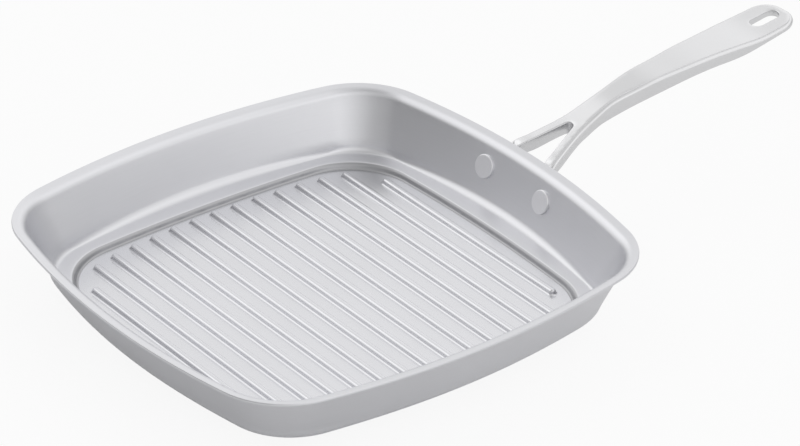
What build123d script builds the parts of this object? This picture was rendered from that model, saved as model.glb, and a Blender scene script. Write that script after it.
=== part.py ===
from build123d import *
from math import sin, cos, tan, sqrt, radians, degrees, atan2, asin
import os

# Square grill pan: pressed steel shell with a ribbed floor, a sealed aluminium plate and a
# steel sole under it, and one cast steel handle held by two rivets.
# Millimetres. The origin is the centre of the underside, +X runs along the handle, +Z is up.

# Heights of the pan
rim_height = 43.0
rivet_height = 28.4
shoulder_height = 9.5
floor_height = 6.1

# Plan shape of the pan: half widths, corner radii and the radii of the bowed sides
rim_half = 140.0
rivet_level_half = 128.3
shoulder_half = 110.9
rim_corner = 46.0
lip_root_corner = 36.0
wall_corner = 32.8
foot_corner = 41.5
shoulder_corner = 40.0
rim_bow = 472.0
lip_root_bow = 465.0
wall_bow = 372.0
foot_bow = 590.0
shoulder_bow = 1000.0

# Section of the pressed sheet
sheet = 1.2
rim_land = 0.3
lip_rise = 0.6
lip_bend_radius = 6.0
wall_fillet = 6.2
shoulder_radius = 2.5
floor_bend_radius = 1.2
lip_angle = 11.0
wall_angle = 71.0
shoulder_angle = 4.0
step_angle = 75.0

# Ribs of the floor, they run across the handle's line
rib_pitch = 13.77
rib_height = 2.8
rib_foot_radius = 1.2
rib_flat = 0.8
rib_reach = 104.8
rib_reach_shares = (1.0, 0.998, 0.993, 0.979, 0.969, 0.948, 0.914, 0.73)

# Sole and the sealed plate in it
sole_half = 101.0
sole_corner = 48.0
sole_bow = 1000.0
sole_edge_radius = 2.2
sole_sheet = 0.7

# Rivets
rivet_spread = 24.6
rivet_shank_radius = 2.0
rivet_head_radius = 6.8
rivet_head_height = 1.4
rivet_head_round = 0.6
rivet_tail_radius = 5.0
rivet_tail_height = 2.2
rivet_tail_round = 1.6
rivet_seat = 0.3

# Handle: the first and last stations, the rise of its top and its greatest width and depth
handle_first_x = 128.0
handle_tip_x = 321.6
handle_first_top = 36.0
handle_tip_top = 75.8
handle_width = 27.3
handle_depth = 10.1
station_shares = (0.0, 0.031, 0.0727, 0.1036, 0.1345, 0.1655, 0.1969, 0.2289, 0.2784, 0.3222, 0.3871,
                  0.4459, 0.5273, 0.6119, 0.6969, 0.7856, 0.851, 0.9124, 1.0)
top_shares = (0.0, 0.0821, 0.1974, 0.2487, 0.3026, 0.3564, 0.4103, 0.4692, 0.5641, 0.641, 0.7154,
              0.7718, 0.8154, 0.8538, 0.8795, 0.8974, 0.9103, 0.9436, 1.0)
width_shares = (1.212, 1.212, 1.19, 1.04, 0.887, 0.751, 0.626, 0.528, 0.451, 0.418, 0.498,
                0.583, 0.644, 0.747, 0.824, 0.934, 1.0, 0.985, 0.93)
depth_shares = (1.455, 1.139, 0.733, 0.743, 0.743, 0.713, 0.723, 0.792, 0.851, 1.0, 1.0,
                1.0, 0.941, 0.832, 0.792, 0.713, 0.485, 0.406, 0.366)
land_height = 0.5
land_root = 0.6
shoulder_width = 2.0
upper_round = 1.8
lower_round = 0.8
opening_round = 0.6
tip_corner = 10.5

# Opening between the legs, the hang hole and the plate against the wall
fork_x = 168.3
fork_radius = 3.2
opening_foot_x = 135.5
opening_foot_half = 13.0
opening_foot_radius = 2.0
hole_x = 306.8
hole_length = 18.8
hole_width = 9.0
plate_thickness = 3.5
plate_half = 35.0
plate_low = 19.5
plate_high = 37.0
plate_corner = 8.0
lip_gap = 0.4


def bowed_square(half, bow, corner, height):
    # A square with bowed sides and round corners, as a flat face at one height
    middle = half - bow
    reach = (middle + sqrt(middle * middle - 2 * (middle * middle - (bow - corner) ** 2))) / 2
    turn = degrees(atan2(reach, reach - middle))

    def spot(cx, cy, radius, angle, quarter):
        x = cx + radius * cos(radians(angle))
        y = cy + radius * sin(radians(angle))
        c = cos(radians(quarter))
        s = sin(radians(quarter))
        return (x * c - y * s, x * s + y * c, height)

    edges = []
    for quarter in (0, 90, 180, 270):
        edges.append(ThreePointArc(spot(middle, 0, bow, -turn, quarter),
                                   spot(middle, 0, bow, 0, quarter),
                                   spot(middle, 0, bow, turn, quarter)))
        edges.append(ThreePointArc(spot(reach, reach, corner, turn, quarter),
                                   spot(reach, reach, corner, 45, quarter),
                                   spot(reach, reach, corner, 90 - turn, quarter)))
    return Face(Wire(edges))


def blend(half, halves, values):
    # Straight-line reading of a value between two known half widths
    for low, high, first, last in zip(halves, halves[1:], values, values[1:]):
        if half <= high:
            share = max(0, half - low) / (high - low)
            return first + (last - first) * share
    return values[-1]


lip_end_height = rim_height - lip_rise


def wall_half(height):
    # Half width of the straight wall at a height
    return rivet_level_half + (height - rivet_height) / sin(radians(wall_angle)) * cos(radians(wall_angle))


def arc_points(start, radius, first, last, count):
    # Points (half width, height, slope) along an arc, slope measured from level
    sign = 1 if last > first else -1
    points = []
    for i in range(count + 1):
        slope = first + (last - first) * i / count
        across = sign * radius * (sin(radians(slope)) - sin(radians(first)))
        up = sign * radius * (cos(radians(first)) - cos(radians(slope)))
        points.append((start[0] + across, start[1] + up, slope))
    return points


# Inner section of the shell, worked out from the shoulder downwards and upwards
shoulder_slant = tan(radians(shoulder_angle))
wall_slant = 1 / tan(radians(wall_angle))
fillet_rise = wall_fillet * (cos(radians(shoulder_angle)) - cos(radians(wall_angle)))
fillet_run = wall_fillet * (sin(radians(wall_angle)) - sin(radians(shoulder_angle)))
shoulder_gap = wall_half(shoulder_height + fillet_rise) - fillet_run - shoulder_half
shoulder_run = shoulder_gap / (1 - shoulder_slant * wall_slant)
fillet_start = (shoulder_half + shoulder_run, shoulder_height + shoulder_run * shoulder_slant)
fillet_top = fillet_start[1] + fillet_rise
shoulder_step = shoulder_radius * (sin(radians(step_angle)) - sin(radians(shoulder_angle)))
shoulder_drop = shoulder_radius * (cos(radians(shoulder_angle)) - cos(radians(step_angle)))
shoulder_start = (shoulder_half - shoulder_step, shoulder_height - shoulder_drop)
bend_rise = floor_bend_radius * (1 - cos(radians(step_angle)))
step_low = floor_height + bend_rise
step_run = (shoulder_start[1] - step_low) / sin(radians(step_angle)) * cos(radians(step_angle))
step_foot = (shoulder_start[0] - step_run, step_low)
floor_half = step_foot[0] - floor_bend_radius * sin(radians(step_angle))
lip_fall = lip_bend_radius * (cos(radians(lip_angle)) - cos(radians(wall_angle)))
lip_root_height = lip_end_height - lip_fall
lip_bend = arc_points((wall_half(lip_root_height), lip_root_height), lip_bend_radius, wall_angle, lip_angle, 3)
rim_inner = (rim_half - rim_land, rim_height, lip_angle)

zones = [
    arc_points((floor_half, floor_height), floor_bend_radius, 0, step_angle, 2),
    [(step_foot[0], step_foot[1], step_angle), (shoulder_start[0], shoulder_start[1], step_angle)],
    arc_points(shoulder_start, shoulder_radius, step_angle, shoulder_angle, 3),
    [(shoulder_half, shoulder_height, shoulder_angle), (fillet_start[0], fillet_start[1], shoulder_angle)],
    arc_points(fillet_start, wall_fillet, shoulder_angle, wall_angle, 4),
    [(wall_half(fillet_top), fillet_top, wall_angle), lip_bend[0]],
    lip_bend,
    [lip_bend[-1], rim_inner],
]
wall_zones = zones[4:6]

level_halves = (shoulder_half, fillet_start[0], wall_half(fillet_top), lip_bend[0][0], rim_half)
level_corners = (shoulder_corner, foot_corner, wall_corner, lip_root_corner, rim_corner)
level_bends = (1 / shoulder_bow, 1 / foot_bow, 1 / wall_bow, 1 / lip_root_bow, 1 / rim_bow)


def outline(point, offset):
    # The pan's outline at one point of the section, moved outwards by an offset
    half, height, slope = point
    out = offset * sin(radians(slope))
    corner = blend(half, level_halves, level_corners) + out
    bow = 1 / blend(half, level_halves, level_bends) + out
    return bowed_square(half + out, bow, corner, height - offset * cos(radians(slope)))


def pan_body(offset, parts):
    # The solid inside the shell's section moved outwards by an offset
    body = None
    for zone in parts:
        piece = loft([outline(point, offset) for point in zone], ruled=len(zone) == 2)
        body = piece if body is None else body + piece
    return body


def rib(reach, inset):
    # One rounded rib lying along Y with its foot on the floor, or its hollow underside
    crown = rib_height - rib_foot_radius
    top = rib_flat / 2
    side = top + crown
    foot = side + rib_foot_radius
    c = cos(radians(45))
    crown_in = crown - inset
    foot_in = rib_foot_radius + inset
    side_in = side - inset
    low = -inset
    profile = [
        Line((0, low), (0, rib_height - inset)),
        Line((0, rib_height - inset), (top, rib_height - inset)),
        ThreePointArc((top, rib_height - inset),
                      (top + crown_in * c, rib_foot_radius + crown_in * c),
                      (side_in, rib_foot_radius)),
        ThreePointArc((side_in, rib_foot_radius),
                      (foot - foot_in * c, rib_foot_radius - foot_in * c),
                      (foot, low)),
        Line((foot, low), (0, low)),
    ]
    half_face = Plane.XZ * Face(Wire(profile))
    full_face = half_face + mirror(half_face, about=Plane.YZ)
    straight = reach - foot
    body = extrude(full_face, amount=straight, both=True)
    turned = revolve(half_face, axis=Axis.Z, revolution_arc=360)
    return body + Pos(0, straight, 0) * turned + Pos(0, -straight, 0) * turned


def ribs(inset):
    # All ribs of the floor, longest in the middle
    pieces = []
    for i, share in enumerate(rib_reach_shares):
        one = Pos(0, 0, floor_height) * rib(rib_reach * share, inset)
        pieces.append(Pos(i * rib_pitch, 0, 0) * one)
        if i:
            pieces.append(Pos(-i * rib_pitch, 0, 0) * one)
    return pieces


# Rivet places: on the inner face of the handle's wall, square to it
rivet_bow = 1 / blend(rivet_level_half, level_halves, level_bends)
rivet_places = []
for side in (1, -1):
    turn = side * asin(rivet_spread / rivet_bow)
    spot = (rivet_level_half - rivet_bow + rivet_bow * cos(turn), rivet_bow * sin(turn), rivet_height)
    tilt = radians(90 - wall_angle)
    way = (cos(tilt) * cos(turn), cos(tilt) * sin(turn), -sin(tilt))
    rivet_places.append(Plane(origin=spot, z_dir=way))

# Shell
outer_body = pan_body(sheet, zones)
rim_low = outline(rim_inner, sheet)
rim_top = bowed_square(rim_half, rim_bow, rim_corner, rim_height)
outer_body = outer_body + loft([rim_low, rim_top], ruled=True)
inner_body = pan_body(0, zones)
shell = outer_body - inner_body
shell = shell + ribs(0)
shell = shell - ribs(sheet)

# Sole and sealed plate
sole_top = floor_height - sheet


def sole_block(inset, low):
    # The block under the floor with a round lower edge
    face = bowed_square(sole_half - inset, sole_bow - inset, sole_corner - inset, low)
    block = extrude(face, amount=sole_top - low, dir=(0, 0, 1))
    lower = block.edges().group_by(Axis.Z)[0]
    return fillet(lower, sole_edge_radius - inset)


plate_block = sole_block(sole_sheet, sole_sheet)
base_cap = sole_block(0, 0) - plate_block
base_core = plate_block + ribs(sheet)

# Handle: plan shape and side shape crossed with each other
span = handle_tip_x - handle_first_x
rise = handle_tip_top - handle_first_top
stations = [handle_first_x + span * share for share in station_shares]
tops = [handle_first_top + rise * share for share in top_shares]
halves = [handle_width * share / 2 for share in width_shares]
depths = [handle_depth * share for share in depth_shares]


def plan_face(extra):
    # Plan of the handle, wider than its flat top by an extra on each side
    right = [(x, half + extra) for x, half in zip(stations, halves)]
    left = [(x, -y) for x, y in right]
    edges = [
        Spline(right),
        Line(right[-1], left[-1]),
        Spline(left),
        Line(right[0], left[0]),
    ]
    face = Face(Wire(edges))
    tip = face.vertices().group_by(Axis.X)[-1]
    return fillet(tip, tip_corner + extra)


def side_face(drop, thickness):
    # Side view of the handle between its lowered top curve and a lower curve
    upper = [(x, top - drop) for x, top in zip(stations, tops)]
    lower = [(x, top - thick) for x, top, thick in zip(stations, tops, thickness)]
    edges = [
        Spline(upper),
        Line(upper[-1], lower[-1]),
        Spline(lower),
        Line(upper[0], lower[0]),
    ]
    return Plane.XZ * Face(Wire(edges))


def crossed(extra, drop, thickness):
    # The plan drawn up through the side view drawn across
    tall = extrude(plan_face(extra), amount=handle_tip_top + handle_depth, dir=(0, 0, 1))
    wide = extrude(side_face(drop, thickness), amount=2 * handle_width, dir=(0, -1, 0))
    return Pos(0, handle_width, 0) * wide & tall


def leg_opening(extra):
    # The rounded three-sided opening between the legs
    foot = opening_foot_half + extra
    near = opening_foot_x - extra
    centre = fork_x - fork_radius
    radius = fork_radius + extra
    run = centre - near
    spread = foot - radius
    slant = atan2(spread, run)
    touch = (centre + radius * sin(slant), radius * cos(slant))
    edges = [
        Line((near, -foot), (near, foot)),
        Line((near, foot), touch),
        ThreePointArc(touch, (centre + radius, 0), (touch[0], -touch[1])),
        Line((touch[0], -touch[1]), (near, -foot)),
    ]
    face = Face(Wire(edges))
    foot_corners = face.vertices().group_by(Axis.X)[0]
    face = fillet(foot_corners, opening_foot_radius + extra)
    return extrude(face, amount=handle_tip_top + handle_depth, dir=(0, 0, 1))


def hang_slot(extra):
    # The long round-ended hole in the tip
    shape = SlotOverall(hole_length + 2 * extra, hole_width + 2 * extra)
    return Pos(hole_x, 0, 0) * extrude(shape, amount=handle_tip_top + handle_depth, dir=(0, 0, 1))


grip = crossed(shoulder_width, land_height, depths)
broad_faces = grip.faces().sort_by(SortBy.AREA)[-2:].sort_by(Axis.Z)
grip = fillet(broad_faces[1].edges(), upper_round)
broad_faces = grip.faces().sort_by(SortBy.AREA)[-2:].sort_by(Axis.Z)
grip = fillet(broad_faces[0].edges(), lower_round)
land = crossed(0, 0, [land_height + land_root] * len(stations))
bar = grip + land - leg_opening(0) - hang_slot(0)
flat_top = bar.faces().sort_by(SortBy.AREA)[-2:].sort_by(Axis.Z)[1]
bar = fillet([edge for wire in flat_top.inner_wires() for edge in wire.edges()], opening_round)

# Plate against the wall, following its bow
plate_window = Plane.YZ * Pos(0, (plate_low + plate_high) / 2) * RectangleRounded(
    2 * plate_half, plate_high - plate_low, plate_corner)
plate = pan_body(sheet + plate_thickness, wall_zones) & extrude(
    plate_window, amount=handle_tip_x, dir=(1, 0, 0))

# Space kept free for the flared lip
lip_space = loft([
    outline(lip_bend[-1], sheet + lip_gap),
    outline(rim_inner, sheet + lip_gap),
    bowed_square(rim_half + lip_gap, rim_bow + lip_gap, rim_corner + lip_gap, rim_height - sheet),
    bowed_square(rim_half + lip_gap, rim_bow + lip_gap, rim_corner + lip_gap, rim_height + handle_depth),
], ruled=True)
handle = bar + plate - outer_body - lip_space

# Rivets: a hole through wall and plate, and a shank that fills it
rivet_grip = sheet + plate_thickness
shank_length = rivet_grip + 2 * rivet_seat
shank = Pos(0, 0, rivet_grip / 2) * Cylinder(rivet_shank_radius, shank_length)
head_length = rivet_head_height + rivet_seat
head = Pos(0, 0, rivet_seat - head_length / 2) * Cylinder(rivet_head_radius, head_length)
head = fillet(head.edges().group_by(Axis.Z)[0], rivet_head_round)
tail_length = rivet_tail_height + rivet_seat
tail = Pos(0, 0, rivet_grip - rivet_seat + tail_length / 2) * Cylinder(rivet_tail_radius, tail_length)
tail = fillet(tail.edges().group_by(Axis.Z)[-1], rivet_tail_round)
for place in rivet_places:
    shell = shell - place * shank
    handle = handle - place * shank
rivets = []
for place in rivet_places:
    rivets.append(place * shank + (place * head - shell) + (place * tail - handle))

os.makedirs("parts", exist_ok=True)
export_step(shell, "parts/pan_shell.step")
export_step(base_cap, "parts/base_cap.step")
export_step(base_core, "parts/base_core.step")
export_step(handle, "parts/handle.step")
export_step(rivets[0], "parts/rivet_left.step")
export_step(rivets[1], "parts/rivet_right.step")
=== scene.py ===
import math

import bmesh
import bpy
import numpy as np
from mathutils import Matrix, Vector
from mathutils.geometry import delaunay_2d_cdt


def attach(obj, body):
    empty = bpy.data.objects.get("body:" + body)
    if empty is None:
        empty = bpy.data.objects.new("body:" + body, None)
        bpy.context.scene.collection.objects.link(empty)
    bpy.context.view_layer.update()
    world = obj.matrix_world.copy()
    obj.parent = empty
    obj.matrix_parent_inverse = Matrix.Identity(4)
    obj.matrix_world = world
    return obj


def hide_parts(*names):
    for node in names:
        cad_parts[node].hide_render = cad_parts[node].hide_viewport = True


bl_info = {
    "name": "Grill pan",
    "version": (1, 0, 0),
    "blender": (4, 5, 0),
    "location": "View3D > Sidebar > Grill pan",
    "description": "Builds a square steel grill pan with a ribbed floor and a cast handle",
    "category": "Add Mesh",
}

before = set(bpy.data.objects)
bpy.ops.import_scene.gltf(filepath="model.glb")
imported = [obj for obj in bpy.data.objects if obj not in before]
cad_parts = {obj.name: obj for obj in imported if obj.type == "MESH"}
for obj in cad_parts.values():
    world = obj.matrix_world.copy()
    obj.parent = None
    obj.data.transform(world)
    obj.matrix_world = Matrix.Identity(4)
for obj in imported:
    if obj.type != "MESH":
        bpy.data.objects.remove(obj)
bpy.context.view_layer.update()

BODY = "root"
MM = 0.001
# Points nearer than this are one, on sheet and on the casting
WELD = 2e-6
CAST_WELD = 3e-6
# Spacing of the points inside the flat faces of plate and casting, and how near they come to the edges
PLATE_FILL = 0.002
CAST_FILL = 0.0016
EDGE_GAP_SHARE = 0.6
FILL_PRECISION = 1e-7
# Edges that turn by more than this are drawn sharp
SMOOTH_UP_TO = math.radians(32)


def length(name, description, default):
    # A size in millimetres as a length property
    return bpy.props.FloatProperty(name=name, description=description, default=default * MM,
                                   unit="LENGTH", subtype="DISTANCE", precision=5)


def angle(name, description, default):
    # A slope in degrees as an angle property
    return bpy.props.FloatProperty(name=name, description=description, default=math.radians(default),
                                   unit="ROTATION", subtype="ANGLE")


def colour(name, description, default):
    # A metal's colour
    return bpy.props.FloatVectorProperty(name=name, description=description, default=default,
                                         size=3, subtype="COLOR", min=0, max=1)


def plain(name, description, default):
    # A number with no unit
    return bpy.props.FloatProperty(name=name, description=description, default=default, min=0)


class ShellSizes(bpy.types.PropertyGroup):
    rim_height: length("Rim height", "Height of the rim over the hob", 43.0)
    rim_half: length("Rim half width", "Half width over the lip", 140.0)
    rim_corner: length("Rim corner", "Corner radius of the lip's edge", 46.0)
    rim_bow: length("Rim bow", "Radius of the bowed side at the lip's edge", 472.0)
    lip_corner: length("Lip root corner", "Corner radius where the lip starts", 36.0)
    lip_bow: length("Lip root bow", "Radius of the bowed side where the lip starts", 465.0)
    lip_rise: length("Lip rise", "Rise of the lip over its width", 0.6)
    lip_bend: length("Lip bend", "Inner radius where wall turns into lip", 6.0)
    lip_slope: angle("Lip slope", "Slope of the lip from level", 11.0)
    rim_land: length("Rim land", "Flat on the rim's edge", 0.3)
    wall_level: length("Wall level", "Height at which the wall is measured", 28.4)
    wall_half: length("Wall half width", "Half width of the wall at that height", 128.3)
    wall_slope: angle("Wall slope", "Slope of the wall from level", 71.0)
    wall_corner: length("Wall corner", "Corner radius at the foot of the wall", 32.8)
    wall_bow: length("Wall bow", "Radius of the bowed side at the foot of the wall", 372.0)
    wall_fillet: length("Wall fillet", "Radius between wall and shoulder", 6.2)
    foot_corner: length("Foot corner", "Corner radius at the shoulder's outer edge", 41.5)
    foot_bow: length("Foot bow", "Radius of the bowed side at the shoulder's outer edge", 590.0)
    shoulder_height: length("Shoulder height", "Height of the shoulder round the floor", 9.5)
    shoulder_half: length("Shoulder half width", "Half width where the crest meets the shoulder", 110.9)
    shoulder_corner: length("Shoulder corner", "Corner radius of the shoulder", 40.0)
    shoulder_bow: length("Shoulder bow", "Radius of the bowed side of the shoulder", 1000.0)
    shoulder_round: length("Shoulder round", "Radius of the shoulder's crest", 2.5)
    shoulder_slope: angle("Shoulder slope", "Slope of the shoulder up to the wall", 4.0)
    step_slope: angle("Step slope", "Slope of the step down to the floor", 75.0)
    floor_bend: length("Floor bend", "Radius at the foot of the step", 1.2)
    floor_height: length("Floor height", "Height of the floor between the ribs", 6.1)
    sheet: length("Sheet", "Thickness of the pressed sheet", 1.2)
    steel: colour("Steel", "Colour of the shell's steel", (0.74, 0.742, 0.765))
    # Painted shade on the step: how much darker the step's colour is made, the band's width up the step and its fade
    step_painted_shade: plain("Step dullness", "How much duller the step is, where no polishing wheel reaches", 0.42)
    step_shade_band: length("Step band", "Width of the dull band from the floor's edge up the step", 4.6)
    step_shade_fade: length("Step fade", "Width over which the dull band ends", 0.8)


class RibSizes(bpy.types.PropertyGroup):
    count: bpy.props.IntProperty(name="Ribs", description="Number of ribs", default=15, min=3)
    pitch: length("Pitch", "Distance between ribs", 13.77)
    height: length("Height", "Height of a rib over the floor", 2.8)
    flat: length("Crown flat", "Width of the flat on the crown", 0.8)
    foot_round: length("Foot round", "Radius where a rib leaves the floor", 1.2)
    reach: length("Reach", "Half length of the middle rib", 104.8)


class SoleSizes(bpy.types.PropertyGroup):
    half: length("Half width", "Half width of the sole", 101.0)
    corner: length("Corner", "Corner radius of the sole", 48.0)
    bow: length("Bow", "Radius of the sole's bowed sides", 1000.0)
    edge_round: length("Edge round", "Radius of the sole's lower edge", 2.2)
    sheet: length("Sheet", "Thickness of the sole's steel", 0.7)
    steel: colour("Steel", "Colour of the sole's steel", (0.7, 0.7, 0.71))
    aluminium: colour("Aluminium", "Colour of the sealed plate", (0.77, 0.78, 0.8))


class RivetSizes(bpy.types.PropertyGroup):
    spread: length("Spread", "Distance of each rivet from the handle's line", 24.6)
    head_radius: length("Head radius", "Radius of the flat head", 6.8)
    head_height: length("Head height", "Height of the flat head", 1.4)
    head_round: length("Head round", "Radius on the head's edge", 0.6)
    tail_radius: length("Tail radius", "Radius of the upset tail", 5.0)
    tail_height: length("Tail height", "Height of the upset tail", 2.2)
    tail_round: length("Tail round", "Radius on the tail's edge", 1.6)
    seat: length("Seat", "How deep head and tail bed in the curved faces", 0.1)
    steel: colour("Steel", "Colour of the rivets", (0.88, 0.88, 0.9))


class HandleSizes(bpy.types.PropertyGroup):
    first_x: length("First station", "Where the handle meets the wall", 128.0)
    tip_x: length("Tip", "Reach of the handle's tip", 321.6)
    first_top: length("First top", "Height of the top at the wall", 36.0)
    tip_top: length("Tip top", "Height of the top at the tip", 75.8)
    width: length("Width", "Greatest width of the flat top", 27.3)
    depth: length("Depth", "Greatest depth of the bar", 10.1)
    land_height: length("Land height", "Height of the flat top over the shoulder", 0.5)
    shoulder: length("Shoulder", "Width of the round shoulder beside the top", 2.0)
    upper_round: length("Upper round", "Radius of the shoulder", 1.8)
    opening_round: length("Opening round", "Radius on the edges of opening and hang hole", 0.6)
    land_round: length("Land round", "Radius on the edge of the flat top", 0.2)
    belly: length("Belly", "Radius of the handle's lower edges", 1.2)
    tip_corner: length("Tip corner", "Corner radius of the tip", 10.5)
    fork_x: length("Fork", "Where the two legs part", 168.3)
    fork_radius: length("Fork radius", "Radius at the end of the opening", 3.2)
    opening_foot_x: length("Opening foot", "Where the opening ends near the wall", 135.5)
    opening_foot_half: length("Opening half width", "Half width of the opening near the wall", 13.0)
    hole_x: length("Hang hole", "Middle of the hang hole", 306.8)
    hole_length: length("Hole length", "Length of the hang hole", 18.8)
    hole_width: length("Hole width", "Width of the hang hole", 9.0)
    plate: length("Plate", "Thickness of the plate against the wall", 3.5)
    plate_half: length("Plate half width", "Half width of the plate", 35.0)
    plate_low: length("Plate low", "Lower edge of the plate", 19.5)
    plate_high: length("Plate high", "Upper edge of the plate", 37.0)
    plate_corner: length("Plate corner", "Corner radius of the plate", 8.0)
    plate_round: length("Plate round", "Radius on the plate's outer edge", 1.2)
    lip_gap: length("Lip gap", "Gap between the legs and the lip", 0.4)
    steel: colour("Steel", "Colour of the cast steel", (0.76, 0.76, 0.77))


class StudioSizes(bpy.types.PropertyGroup):
    floor_tone: colour("Floor tone", "Colour of the floor", (0.82, 0.82, 0.82))
    floor_white: plain("Floor white", "How white the floor shows", 0.9)
    # Painted light: how strongly the floor glows whiter in the metal toward its right, over the floor turn
    floor_glow_right: plain("Floor in metal", "How white metal shows the floor on the right", 0.25)
    fill: plain("Fill light", "Even light from all round", 0.19)
    lights: plain("Soft lights", "Strength of all soft lights together", 1.0)
    floor_turn: length("Floor turn", "Half width over which the floor gets whiter in metal", 250.0)
    floor_reach: length("Floor reach", "Half width of the floor", 6000.0)
    lens: bpy.props.FloatProperty(name="Lens", description="Focal length of the camera", default=187.23)
    distance: length("Camera distance", "Distance from the camera to the point it looks at", 2200.45)
    azimuth: angle("Camera azimuth", "Turn of the camera round the pan", -37.06)
    height: angle("Camera height", "Angle of the camera over the floor", 30.507)
    target: bpy.props.FloatVectorProperty(name="Target", description="Point that the camera looks at", size=3,
                                          default=(0.03852, -0.01593, 0.043), subtype="XYZ", unit="LENGTH",
                                          precision=5)


# Soft lights round the pan: azimuth from +X, height over the horizon, half width, all in degrees, and strength
SOFT_LIGHTS = (
    (45, 5, 50, 0.52), (270, 5, 50, 0.46), (315, 5, 50, 0.35), (22.5, 33, 45, 0.26), (67.5, 33, 45, 0.23),
    (112.5, 33, 45, 0.91), (157.5, 33, 45, 0.075), (202.5, 33, 45, 0.3), (247.5, 33, 45, 0.39),
    (292.5, 33, 45, 0.18), (337.5, 33, 45, 0.22), (0, 60, 45, 0.49), (144, 60, 45, 0.16), (288, 60, 45, 0.3),
)
# Steps of the shell's section, from the floor's edge to the lip's edge
FLOOR_BEND_STEPS, CREST_STEPS, SHOULDER_STEPS, FILLET_STEPS = 6, 8, 3, 14
WALL_STEPS, LIP_BEND_STEPS, LIP_STEPS = 6, 12, 3
SIDE_STEPS, CORNER_STEPS = 18, 26
# Drop of the points round the lip's edge, as shares of the sheet; the edge stands out most at the second
EDGE_SHARES = (0.35, 0.7, 1.0)
# Finishes: stretch of the grain along each axis, roughness, grain scale, bump and how much the roughness varies
FINISHES = {
    "shell_steel_satin": ((0.02, 1.0, 1.0), 0.35, 1400.0, 0.015, 0.04),
    "floor_steel_satin": ((1.0, 0.05, 1.0), 0.24, 1500.0, 0.005, 0.03),
    "sole_steel_brushed": ((1.0, 0.03, 1.0), 0.34, 1800.0, 0.08, 0.08),
    "core_aluminium_rolled": ((1.0, 0.05, 1.0), 0.45, 900.0, 0.08, 0.08),
    "rivet_steel_satin": ((1.0, 1.0, 1.0), 0.42, 900.0, 0.008, 0.03),
    "handle_steel_satin": ((0.06, 1.0, 1.0), 0.26, 1500.0, 0.008, 0.03),
}
CLOUD_SCALE = 18.0
TONE_SPREAD = 0.05
GRAIN_DEPTH = 0.00005
# Points along the handle's outlines: its side, the tip's corner and end, and the end at the wall
BAR_POINTS, CORNER_POINTS, TIP_POINTS, FOOT_POINTS = 150, 11, 6, 30
# Points along the opening's leg, bend and foot, half the hang hole, a corner of the plate and the wall's height
LEG_POINTS, BEND_POINTS, OPENING_POINTS, HOLE_POINTS, PLATE_POINTS, WALL_POINTS = 30, 10, 24, 17, 13, 60
# Steps of the rounded edges: the casting's lower edge, its shoulder, its openings, the plate and the sole
LOWER_STEPS, UPPER_STEPS, OPENING_STEPS, PLATE_STEPS, SOLE_STEPS = 7, 8, 4, 5, 8
# Points over half a turn and steps of each edge, on ribs and on rivets
RIB_COLUMNS, RIB_STEPS, RIVET_COLUMNS, RIVET_STEPS = 25, 8, 33, 6
# Where the casting is thin, its lower edges are rounded over no more than this share of its depth
THIN_SHARE = 3 / 8
# The openings' lower edges are lower than the outer ones by this share
OPENING_LIFT_SHARE = 1 / 4
# Reach of the ribs from the middle one to the outermost, as shares of the middle one's
RIB_REACH_SHARES = (1.0, 0.998, 0.993, 0.979, 0.969, 0.948, 0.914, 0.73)
# The handle from wall to tip: stations along it, then height of its top, width of its top and depth at each
STATION_SHARES = (0.0, 0.031, 0.0727, 0.1036, 0.1345, 0.1655, 0.1969, 0.2289, 0.2784, 0.3222, 0.3871,
                  0.4459, 0.5273, 0.6119, 0.6969, 0.7856, 0.851, 0.9124, 1.0)
TOP_SHARES = (0.0, 0.0821, 0.1974, 0.2487, 0.3026, 0.3564, 0.4103, 0.4692, 0.5641, 0.641, 0.7154,
              0.7718, 0.8154, 0.8538, 0.8795, 0.8974, 0.9103, 0.9436, 1.0)
WIDTH_SHARES = (1.212, 1.212, 1.19, 1.04, 0.887, 0.751, 0.626, 0.528, 0.451, 0.418, 0.498,
                0.583, 0.644, 0.747, 0.824, 0.934, 1.0, 0.985, 0.93)
DEPTH_SHARES = (1.455, 1.139, 0.733, 0.743, 0.743, 0.713, 0.723, 0.792, 0.851, 1.0, 1.0,
                1.0, 0.941, 0.832, 0.792, 0.713, 0.485, 0.406, 0.366)


def quarter_turns(count):
    # Angles from nought to a right angle in equal steps
    return [math.pi / 2 * i / count for i in range(count + 1)]


def bowed_square(half, bow, corner):
    # Points of a square with bowed sides and round corners, anticlockwise from the +X side
    middle = half - bow
    reach = (middle + math.sqrt(middle ** 2 - 2 * (middle ** 2 - (bow - corner) ** 2))) / 2
    turn = math.atan2(reach, reach - middle)
    quarter = []
    for i in range(2 * SIDE_STEPS):
        a = -turn + turn * i / SIDE_STEPS
        quarter.append((middle + bow * math.cos(a), bow * math.sin(a)))
    for i in range(CORNER_STEPS):
        a = turn + (math.pi / 2 - 2 * turn) * i / CORNER_STEPS
        quarter.append((reach + corner * math.cos(a), reach + corner * math.sin(a)))
    return (quarter + [(-y, x) for x, y in quarter] + [(-x, -y) for x, y in quarter]
            + [(y, -x) for x, y in quarter])


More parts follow.
